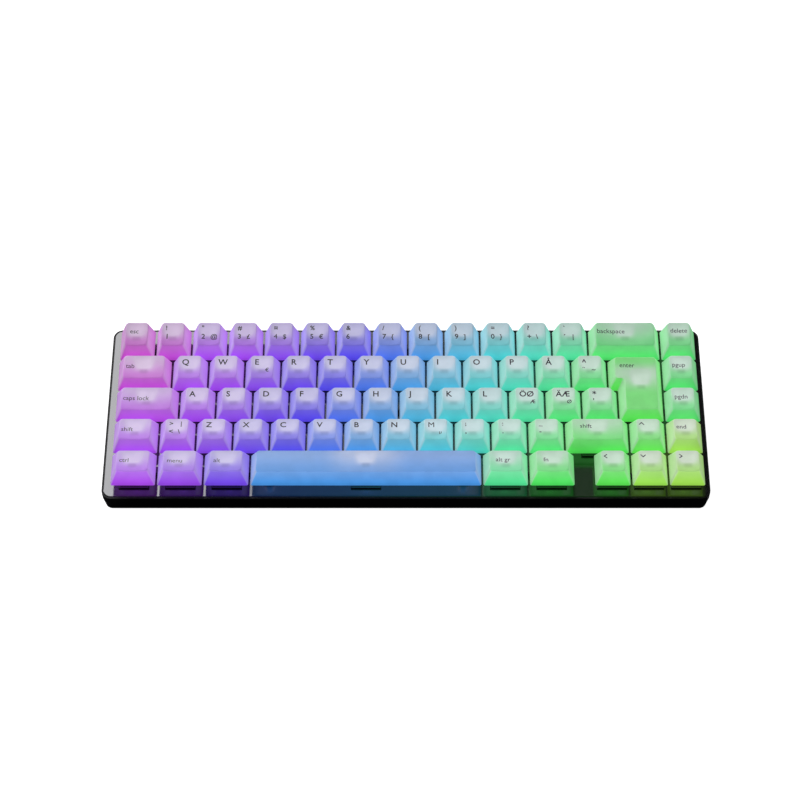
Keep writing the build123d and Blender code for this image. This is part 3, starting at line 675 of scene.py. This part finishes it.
# The three rear rows end in green; the space bar and the enter key are lit from one place each.
REAR_ROWS_END = 112
SPACE_BAR_RUN = 5
ENTER_RUN = 145
PALE = srgb(222, 220, 228)
GROUND = srgb(120, 118, 128)


def backlight(graph, place):
    """The backlight's colour at a place along its run."""
    share = graph.math("MULTIPLY_ADD", place, 0.5 / BACKLIGHT_REACH, 0.5)
    stops = [(0.5 + 0.5 * at / BACKLIGHT_REACH, colour) for at, colour in BACKLIGHT]
    return graph.ramp(share, stops)


CAP_GLOW = 0.69
CAP_ROUGHNESS = 0.42
# Painted light: the front row's front faces glow more, because no lit key stands before them.
FRONT_ROW_LIFT = 0.38


def soft_box(graph, x, y, half_width, front, back):
    """One inside a soft-edged rectangle of a key's top, fading to zero around it."""
    across = graph.smooth(graph.math("ABSOLUTE", x), *half_width, 1.0, 0.0)
    return graph.product(across, graph.smooth(y, *front), graph.smooth(y, *back, 1.0, 0.0))


def cap_painted_whiteness(graph, x, y, z, top, normal):
    """Painted light: how far the backlight's colour is washed out, most over the clear top of the
    switch, with painted highlights on the tops, on the left, right and rear faces and along the
    top's rounded edge.
    """
    patch = soft_box(graph, x, y, (2.0, 7.0), (-2.8, 1.8), (5.5, 12.0))
    top_white = graph.smooth(y, -6.5, 7.5, 0.21, 0.86)
    far_end = graph.smooth(graph.math("ABSOLUTE", x), 7.0, 24.0, 1.0, 0.45)
    far_back = graph.smooth(y, 8.0, 15.0, 1.0, 0.3)
    top_white = graph.product(top_white, far_end, far_back)
    top_white = graph.math("MULTIPLY_ADD", patch, 0.48, top_white)
    # Painted highlights: left faces paler most, right faces less, sides paler higher up, rear faces
    # paler.
    leftward = graph.smooth(graph.dot(normal, (-1, 0, 0)), 0.3, 0.8)
    rightward = graph.smooth(graph.dot(normal, (1, 0, 0)), 0.3, 0.8)
    side_white = graph.smooth(z, 1.0, 9.0, 0.0, 0.15)
    side_white = graph.math("MULTIPLY_ADD", leftward, 0.5, side_white)
    side_white = graph.math("MULTIPLY_ADD", rightward, 0.25, side_white)
    rear = graph.smooth(graph.dot(normal, BACK), 0.3, 0.7, 0.0, 0.3)
    side_white = graph.math("ADD", side_white, rear)
    # A painted highlight line where the side turns into the top.
    painted_crease_highlight = graph.product(top, graph.math("SUBTRACT", 1.0, top), 0.5)
    return graph.math("ADD", graph.number_mix(top, side_white, top_white), painted_crease_highlight, clamp=True)


def cap_shade(graph, x, y, z, top, normal):
    """Painted shade on the glow: darker towards the skirt, over the stem's front, high up on the
    tall rear row, on the left faces and towards the tops' rear; a painted lift on the front row's
    front faces.
    """
    stem = soft_box(graph, x, y, (0.9, 3.2), (-3.6, -1.6), (-0.9, 0.7))
    stem_shade = graph.math("MULTIPLY_ADD", graph.product(stem, top), -0.27, 1.0)
    side_shade = graph.smooth(z, -0.4, 3.0, 0.8, 1.0)
    tall_shade = graph.smooth(z, 8.4, 9.6, 1.0, 0.84)
    cloud = graph.smooth(graph.noise(160, 2.0), 0.3, 0.7, 0.94, 1.04)
    front_row = graph.node("ShaderNodeAttribute", attribute_name="front_row").outputs["Fac"]
    forward = graph.smooth(graph.dot(normal, -BACK), 0.3, 0.7, 0.0, FRONT_ROW_LIFT)
    front_lift = graph.math("MULTIPLY_ADD", front_row, forward, 1.0)
    left_shade = graph.smooth(graph.dot(normal, (-1, 0, 0)), 0.3, 0.8, 1.0, 0.8)
    # Tops brighter over the clear switch top and darker towards the rear: painted light and shade.
    clear_patch = soft_box(graph, x, y, (2.5, 5.5), (-1.6, 1.4), (5.0, 9.0))
    top_shade = graph.smooth(y, 1.0, 9.0, 0.86, 0.78)
    top_shade = graph.math("MULTIPLY_ADD", clear_patch, 0.12, top_shade)
    top_shade = graph.number_mix(top, left_shade, top_shade)
    return graph.product(stem_shade, side_shade, tall_shade, top_shade, cloud, front_lift)


def frosted_cap_painted_glow_material():
    """Frosted plastic with the backlight painted on as glow: saturated at the skirt, pale over the
    clear switch top. Its base colour is half tinted with the backlight's colour, painted light too.
    """
    graph = Graph("frosted_cap_painted_glow")
    local = graph.node("ShaderNodeAttribute", attribute_name="cap_place").outputs["Vector"]
    x, y, z = graph.split(local)[:3]
    run = graph.node("ShaderNodeAttribute", attribute_name="backlight_place").outputs["Fac"]
    colour = backlight(graph, run)
    normal = graph.node("ShaderNodeNewGeometry").outputs["Normal"]
    top = graph.smooth(graph.dot(normal, OUT), 0.72, 0.95)
    white = cap_painted_whiteness(graph, x, y, z, top, normal)
    shade = cap_shade(graph, x, y, z, top, normal)
    # Painted glow: the backlight's colour, washed pale by the painted whiteness and darkened by the
    # painted shade, emitted by the cap itself.
    glow = graph.shaded(graph.mix(white, colour, PALE), shade)
    graph.set(
        # Base colour half tinted with the backlight's colour: painted light on the frosted plastic.
        Base_Color=graph.mix(0.5, GROUND, colour),
        Roughness=CAP_ROUGHNESS,
        Emission_Color=glow,
        Emission_Strength=CAP_GLOW,
        Specular_IOR_Level=0.2,
    )
    graph.bump(graph.noise(5200, 2.0), 0.12, 0.00002)
    return graph.material


def stem_material():
    graph = Graph("stem")
    grain = graph.noise(900, 3.0)
    graph.set(
        Base_Color=graph.mix(grain, srgb(74, 60, 58), srgb(92, 76, 72)),
        Roughness=graph.smooth(grain, 0.3, 0.7, 0.35, 0.5),
    )
    return graph.material


def legend_material():
    graph = Graph("legend_ink")
    wear = graph.noise(2400, 4.0, 0.6)
    graph.set(
        Base_Color=graph.mix(graph.smooth(wear, 0.45, 0.75), srgb(22, 20, 32), srgb(44, 42, 56)),
        Roughness=graph.smooth(wear, 0.3, 0.7, 0.5, 0.7),
    )
    return graph.material


# Strength of the backlight's spill painted on the plate as glow.
PLATE_PAINTED_SPILL = 0.022


def painted_spill_area(graph):
    """Where the plate's painted glow lies: one on the plate among the keys, fading to zero on its
    bare border.
    """
    position = graph.node("ShaderNodeNewGeometry").outputs["Position"]
    across = graph.math("SUBTRACT", graph.split(position)[0], PLATE.translation.x)
    reach = GRID_COLUMNS / 2 * PITCH * MM
    return graph.smooth(graph.math("ABSOLUTE", across), reach - MM, reach + MM, 1.0, 0.0)


def plate_material():
    """Black anodised metal, satin to glossy, that mirrors the caps and the light box, with the
    backlight's spill painted on as a faint glow among the keys.
    """
    graph = Graph("black_plate")
    grain = graph.noise(3200, 4.0, 0.6)
    haze = graph.noise(26, 3.0)
    shade = graph.mix(haze, srgb(88, 88, 89), srgb(98, 98, 100))
    rough = graph.math(
        "MULTIPLY_ADD", graph.smooth(grain, 0.3, 0.7), 0.03, graph.smooth(haze, 0.3, 0.7, 0.1, 0.15)
    )
    graph.set(
        Base_Color=shade,
        Metallic=1.0,
        Roughness=rough,
        Emission_Color=backlight(graph, grid_place(graph)),
        Emission_Strength=graph.product(painted_spill_area(graph), PLATE_PAINTED_SPILL),
    )
    graph.bump(grain, 0.05, 0.00001)
    return graph.material


def case_material():
    """Black moulded plastic with a fine spark-eroded grain."""
    graph = Graph("case_plastic")
    grain = graph.noise(4200, 5.0, 0.65)
    cloud = graph.noise(34, 2.0)
    graph.set(
        Base_Color=graph.mix(cloud, srgb(7, 7, 8), srgb(11, 11, 13)),
        Roughness=graph.smooth(grain, 0.25, 0.75, 0.38, 0.56),
        Specular_IOR_Level=0.25,
    )
    graph.bump(grain, 0.25, 0.00003)
    return graph.material


def grid_place(graph):
    """The backlight's place under any point of the keyboard, from where the point lies."""
    position = graph.node("ShaderNodeNewGeometry").outputs["Position"]
    x = graph.split(position)[0]
    forward = graph.dot(position, -BACK)
    middle = -BACK.dot(PLATE.translation)
    rows = graph.math("SUBTRACT", forward, middle)
    rows = graph.math("MULTIPLY_ADD", rows, BACKLIGHT_SLANT / PITCH / MM, 2 * BACKLIGHT_SLANT)
    return graph.math("MULTIPLY_ADD", x, 1 / MM, rows)


# Clear switch tops with the backlight painted on as glow above 3.2 mm and a faint painted glow near
# the plate; their lower part is darkened as painted shade under the caps.
def clear_housing_material():
    graph = Graph("clear_housing")
    colour = backlight(graph, grid_place(graph))
    flow = graph.noise(300, 3.0)
    position = graph.node("ShaderNodeNewGeometry").outputs["Position"]
    height = graph.math("SUBTRACT", graph.dot(position, OUT), OUT.dot(PLATE.translation))
    lit = graph.smooth(height, 3.2 * MM, 6.0 * MM)
    spill = graph.smooth(height, 1.0 * MM, 2.0 * MM, 0.12, 0.02)
    clear = graph.mix(flow, srgb(150, 152, 160), srgb(176, 178, 186))
    graph.set(
        Base_Color=graph.mix(lit, srgb(34, 31, 46), clear),
        Roughness=0.2,
        Emission_Color=colour,
        Emission_Strength=graph.math("MULTIPLY_ADD", lit, 0.34, spill),
    )
    return graph.material


def led_material():
    graph = Graph("led")
    colour = backlight(graph, grid_place(graph))
    lens = graph.smooth(graph.noise(900, 1.0), 0.3, 0.7)
    graph.set(
        Base_Color=graph.mix(lens, srgb(220, 220, 226), srgb(240, 240, 244)),
        Roughness=0.3,
        Emission_Color=graph.mix(lens, colour, PALE),
        Emission_Strength=1.5,
    )
    return graph.material


def black_housing_material():
    graph = Graph("black_housing")
    flow = graph.noise(700, 4.0, 0.6)
    graph.set(
        Base_Color=graph.mix(flow, srgb(14, 14, 16), srgb(24, 24, 27)),
        Roughness=graph.smooth(flow, 0.3, 0.7, 0.4, 0.6),
    )
    graph.bump(flow, 0.2, 0.00002)
    return graph.material


def wire_material():
    graph = Graph("drawn_wire")
    streaks = graph.noise(900, 4.0, 0.6, stretch=(1, 12, 12))
    graph.set(
        Base_Color=graph.mix(streaks, srgb(120, 122, 126), srgb(176, 178, 182)),
        Metallic=1.0,
        Roughness=graph.smooth(streaks, 0.3, 0.7, 0.25, 0.45),
    )
    return graph.material


def screw_material():
    graph = Graph("black_oxide_screw")
    wear = graph.noise(1600, 4.0, 0.6)
    graph.set(
        Base_Color=graph.mix(graph.smooth(wear, 0.55, 0.8), srgb(38, 38, 42), srgb(96, 96, 100)),
        Metallic=0.9,
        Roughness=graph.smooth(wear, 0.3, 0.7, 0.3, 0.5),
    )
    return graph.material


def board_material():
    """Solder mask over copper, with tracks as faint raised bands."""
    graph = Graph("circuit_board")
    tracks = graph.node("ShaderNodeTexBrick")
    tracks.inputs["Scale"].default_value = 90.0
    tracks.inputs["Mortar Size"].default_value = 0.012
    graph.put(graph.node("ShaderNodeTexCoord").outputs["Object"], tracks.inputs["Vector"])
    lines = tracks.outputs["Fac"]
    graph.set(
        Base_Color=graph.mix(lines, srgb(12, 30, 26), srgb(34, 66, 56)),
        Roughness=graph.smooth(graph.noise(800), 0.3, 0.7, 0.25, 0.4),
    )
    graph.bump(lines, 0.4, 0.00005)
    return graph.material


def components_material():
    """Black moulded packages, and bright metal for the cable socket at the back edge."""
    graph = Graph("board_components")
    position = graph.node("ShaderNodeNewGeometry").outputs["Position"]
    metal = graph.smooth(graph.dot(position, BACK), *socket_edge())
    grain = graph.noise(1800, 4.0)
    graph.set(
        Base_Color=graph.mix(metal, srgb(22, 22, 24), srgb(172, 174, 178)),
        Metallic=metal,
        Roughness=graph.smooth(grain, 0.3, 0.7, 0.3, 0.45),
    )
    return graph.material


def socket_edge():
    back = max(BACK.dot(v.co) for v in frame["nodes"]["board_components"].data.vertices)
    return back - 7.6 * MM, back - 7.4 * MM


def rubber_material():
    graph = Graph("rubber")
    grain = graph.noise(2600, 5.0, 0.7)
    graph.set(
        Base_Color=graph.mix(grain, srgb(20, 20, 21), srgb(34, 34, 36)),
        Roughness=graph.smooth(grain, 0.3, 0.7, 0.75, 0.92),
    )
    graph.bump(grain, 0.5, 0.00006)
    return graph.material


def dress_cad_nodes():
    case = case_material()
    black = black_housing_material()
    wire = wire_material()
    looks = {
        "top_plate": plate_material(),
        "bottom_case": case,
        "left_tilt_foot": case,
        "right_tilt_foot": case,
        "switch_lower_housings": black,
        "stabiliser_housings": black,
        "switch_upper_housings": clear_housing_material(),
        "key_leds": led_material(),
        "switch_springs": wire,
        "backspace_wire": wire,
        "enter_wire": wire,
        "space_bar_wire": wire,
        "plate_screws": screw_material(),
        "circuit_board": board_material(),
        "board_components": components_material(),
        "rubber_feet": rubber_material(),
    }
    for node, material in looks.items():
        for slot in frame["nodes"][node].material_slots:
            slot.link = "OBJECT"
            slot.material = material


# ---- Keys ------------------------------------------------------------------------------------
def finish_mesh(skin, name, materials, x, y, run, front_row):
    """Puts a key's skin in place, with the attributes its material reads."""
    bmesh.ops.recalc_face_normals(skin.mesh, faces=skin.mesh.faces)
    mesh = bpy.data.meshes.new(name)
    skin.mesh.to_mesh(mesh)
    skin.mesh.free()
    local = mesh.attributes.new("cap_place", "FLOAT_VECTOR", "POINT")
    for vertex, value in zip(mesh.vertices, local.data):
        value.vector = vertex.co - Vector((0, 0, SKIRT_HEIGHT))
    place = mesh.attributes.new("backlight_place", "FLOAT", "POINT")
    place.data.foreach_set("value", [run] * len(mesh.vertices))
    front = mesh.attributes.new("front_row", "FLOAT", "POINT")
    front.data.foreach_set("value", [float(front_row)] * len(mesh.vertices))
    mesh.transform(PLATE @ Matrix.Translation((x, y, 0)))
    for material in materials:
        mesh.materials.append(material)
    made = bpy.data.objects.new(name, mesh)
    bpy.context.scene.collection.objects.link(made)
    return made


def build_key(name, body, form, places, x, y, run, materials, sliders):
    skin = Skin()
    cap_skin(skin, form)
    for px, py in places:
        post_skin(skin, form, px, py)
    stem_skin(skin)
    for px, py in sliders:
        slider_skin(skin, px, py)
    key = finish_mesh(skin, f"keycap_{name}", materials, x, y, run, y < row_y(FRONT_ROW - 0.5))
    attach(key, body)
    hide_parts(body)


def chevron_flat(turn, middle):
    """A flat open arrowhead pointing up, turned and put where its key shows it."""
    span, rise, stroke = CHEVRON_SPAN, CHEVRON_RISE, CHEVRON_STROKE
    arms = [
        (-span, -rise), (0, rise), (span, -rise),
        (span - stroke * 0.6, -rise - stroke * 0.6), (0, rise - stroke * 1.35),
        (-span + stroke * 0.6, -rise - stroke * 0.6),
    ]
    spin = Matrix.Rotation(math.radians(turn), 2)
    flat = [spin @ Vector(arm) + Vector(middle) for arm in arms]
    shape = bmesh.new()
    for z in (-LEGEND_THICKNESS, LEGEND_THICKNESS):
        for point in flat:
            shape.verts.new((point.x, point.y, z))
    shape.verts.ensure_lookup_table()
    low, high = shape.verts[:6], shape.verts[6:]
    for ring, order in ((low, 1), (high, -1)):
        for quad in ((0, 1, 4, 5), (1, 2, 3, 4)):
            shape.faces.new([ring[k] for k in quad][::order])
    for k in range(6):
        m = (k + 1) % 6
        shape.faces.new((low[m], low[k], high[k], high[m]))
    mesh = bpy.data.meshes.new("chevron")
    shape.to_mesh(mesh)
    shape.free()
    return mesh


def legend_weight(text):
    """Capitals are thickened, words aren't; an M's or a 4's inner corners would cross if it were."""
    return 0.0 if text.islower() or text in ("M", "4") else LEGEND_WEIGHT


def text_flat(text, size, left, baseline):
    """A line of lettering as a thin flat mesh, with its left end and baseline in place."""
    curve = bpy.data.curves.new("legend", "FONT")
    curve.body = text
    curve.size = size
    curve.extrude = LEGEND_THICKNESS
    curve.offset = legend_weight(text) * size
    curve.resolution_u = 3
    holder = bpy.data.objects.new("legend", curve)
    bpy.context.scene.collection.objects.link(holder)
    bpy.context.view_layer.update()
    graph = bpy.context.evaluated_depsgraph_get()
    mesh = bpy.data.meshes.new_from_object(holder.evaluated_get(graph))
    bpy.data.objects.remove(holder)
    bpy.data.curves.remove(curve)
    for vertex in mesh.vertices:
        vertex.co.x = vertex.co.x * LEGEND_WIDTH + left
        vertex.co.y += baseline
    return mesh


def build_legend(name, body, form, legends, x, y, ink):
    """Prints a key's legends on its top as thin closed shapes that follow the dish."""
    parts = bmesh.new()
    for entry, place in legends:
        if entry == "":
            continue
        flat = text_flat(entry, *place) if isinstance(entry, str) else chevron_flat(entry, place)
        for vertex in flat.vertices:
            along = TOP_SETBACK + (vertex.co.y - TOP_SETBACK) * math.cos(form.lean)
            lift = form.top_z(vertex.co.x, along) + LEGEND_LIFT + vertex.co.z
            vertex.co = (vertex.co.x, along, lift)
        parts.from_mesh(flat)
        bpy.data.meshes.remove(flat)
    if not parts.verts:
        parts.free()
        return
    bmesh.ops.remove_doubles(parts, verts=parts.verts, dist=1e-4)
    mesh = bpy.data.meshes.new(f"legend_{name}")
    parts.to_mesh(mesh)
    parts.free()
    mesh.transform(PLATE @ Matrix.Translation((x, y, 0)))
    mesh.materials.clear()
    mesh.materials.append(ink)
    legend = bpy.data.objects.new(f"legend_{name}", mesh)
    bpy.context.scene.collection.objects.link(legend)
    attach(legend, body)


def backlight_run(name, row, x):
    """Where a key stands along the backlight's run; the rear rows stop short of its yellow end."""
    if name == "space":
        return SPACE_BAR_RUN
    run = x + BACKLIGHT_SLANT * row
    return run if row > MIDDLE_ROW else min(run, REAR_ROWS_END)


def build_keys():
    materials = [frosted_cap_painted_glow_material(), stem_material()]
    ink = legend_material()
    for row, entries in enumerate(KEY_ROWS):
        edge = 0.0
        for name, body, width, legends in entries:
            x = grid_x(edge + width / 2)
            y = row_y(row)
            edge += width
            if not name:
                continue
            crown = SPACE_BAR_CROWN if name == "space" else 0.0
            form = rectangular_form(row, width, crown)
            spread = {"backspace": STAB_HALF_SPREAD, "space": SPACE_STAB_HALF_SPREAD}.get(name)
            sliders = [(-spread, 0), (spread, 0)] if spread else []
            run = backlight_run(name, row, x)
            build_key(name, body, form, [(0, 0)] + sliders, x, y, run, materials, sliders)
            build_legend(name, body, form, legends, x, y, ink)
    form = enter_form()
    x = grid_x(ENTER_RIGHT_EDGE - ENTER_LOWER_WIDTH / 2)
    y = (row_y(1) + row_y(2)) / 2
    sliders = [(0, -STAB_HALF_SPREAD), (0, STAB_HALF_SPREAD)]
    places = [(0, 0)] + sliders
    build_key("enter", "enter_key", form, places, x, y, ENTER_RUN, materials, sliders)
    build_legend("enter", "enter_key", form, ENTER_LEGEND, x, y, ink)


# ---- Floor, light and camera -----------------------------------------------------------------
FLOOR_SIZE = 6.0
CAMERA_ELEVATION = 57.97
CAMERA_DISTANCE = 1216.8
CAMERA_AIM_Y = 5.98
CAMERA_AIM_Z = 3.8
CAMERA_FOCAL_PIXELS = 2325.3
CAMERA_SHIFT = (-0.00975, -0.0006)
PICTURE_WIDTH = 800
SENSOR = 36.0


def build_floor():
    mesh = bpy.data.meshes.new("floor")
    half = FLOOR_SIZE / 2
    mesh.from_pydata(
        [(-half, -half, 0), (half, -half, 0), (half, half, 0), (-half, half, 0)], [], [(0, 1, 2, 3)]
    )
    floor = bpy.data.objects.new("floor", mesh)
    bpy.context.scene.collection.objects.link(floor)
    graph = Graph("floor")
    seen = graph.node("ShaderNodeLightPath").outputs["Is Camera Ray"]
    paper = graph.smooth(graph.noise(40, 2.0), 0.3, 0.7, 0.97, 1.0)
    graph.set(
        Base_Color=graph.mix(seen, srgb(70, 70, 74), srgb(225, 225, 228)),
        Roughness=0.9,
        Specular_IOR_Level=0.0,
        Emission_Color=(1.0, 1.0, 1.0, 1.0),
        Emission_Strength=graph.product(paper, seen),
    )
    mesh.materials.append(graph.material)


LIGHT_BOX = 4.4
LIGHT_BOX_ON_SURFACES = 0.085
ROOM_LIGHT = 0.1
ROOM_IN_MIRRORS = 0.04
# How far to the right a mirrored ray may point before the light box ends, and how far up behind.
LIGHT_BOX_SIDE = (-0.12, 0.01)
LIGHT_BOX_BACK = (0.1, 0.4)


def build_world():
    """White to the camera; to the object, a dim room with a large light box at the back left."""
    world = bpy.data.worlds.new("studio")
    bpy.context.scene.world = world
    world.use_nodes = True
    graph = Graph("world", world.node_tree)
    place = graph.node("ShaderNodeTexCoord").outputs["Generated"]
    rays = graph.node("ShaderNodeLightPath").outputs
    side = graph.smooth(graph.dot(place, (1, 0, 0)), *LIGHT_BOX_SIDE, 1.0, 0.0)
    behind = graph.smooth(graph.dot(place, (0, 1, 0)), *LIGHT_BOX_BACK)
    on_surfaces = graph.number_mix(rays["Is Diffuse Ray"], 1.0, LIGHT_BOX_ON_SURFACES)
    box = graph.product(side, behind, on_surfaces, LIGHT_BOX)
    room_light = graph.number_mix(rays["Is Glossy Ray"], ROOM_LIGHT, ROOM_IN_MIRRORS)
    room = graph.math("ADD", box, room_light)
    strength = graph.number_mix(rays["Is Camera Ray"], room, 1.0)
    background = graph.tree.nodes["Background"]
    graph.put((1.0, 1.0, 1.0, 1.0), background.inputs["Color"])
    graph.put(strength, background.inputs["Strength"])


def build_camera():
    scene = bpy.context.scene
    elevation = math.radians(CAMERA_ELEVATION)
    aim = Vector((0, CAMERA_AIM_Y, CAMERA_AIM_Z))
    forward = Vector((0, math.cos(elevation), -math.sin(elevation)))
    up = Vector((0, math.sin(elevation), math.cos(elevation)))
    spot = aim - forward * CAMERA_DISTANCE
    axes = Matrix((Vector((1, 0, 0)), up, -forward)).transposed()
    turned = (PLATE.to_3x3() * (1 / MM)) @ axes
    lens = bpy.data.cameras.new("camera")
    lens.sensor_width = SENSOR
    lens.lens = CAMERA_FOCAL_PIXELS / PICTURE_WIDTH * SENSOR
    lens.shift_x, lens.shift_y = CAMERA_SHIFT
    lens.clip_end = 20
    camera = bpy.data.objects.new("camera", lens)
    camera.matrix_world = Matrix.Translation(PLATE @ spot) @ turned.to_4x4()
    scene.collection.objects.link(camera)
    scene.camera = camera


def build_lights():
    """A soft key light behind on the left and a weak fill from the front right."""
    for name, place, size, power in (
        ("key_light", (-0.9, 0.7, 1.2), 0.9, 2.5),
        ("fill_light", (0.8, -0.9, 1.1), 1.0, 1.5),
    ):
        light = bpy.data.lights.new(name, "AREA")
        light.size = size
        light.energy = power
        lamp = bpy.data.objects.new(name, light)
        lamp.location = place
        lamp.rotation_euler = (-Vector(place)).to_track_quat("-Z", "Y").to_euler()
        lamp.visible_camera = False
        lamp.visible_glossy = False
        bpy.context.scene.collection.objects.link(lamp)


dress_cad_nodes()
build_keys()
build_floor()
build_world()
build_lights()
build_camera()
bpy.context.scene.view_settings.view_transform = "Standard"
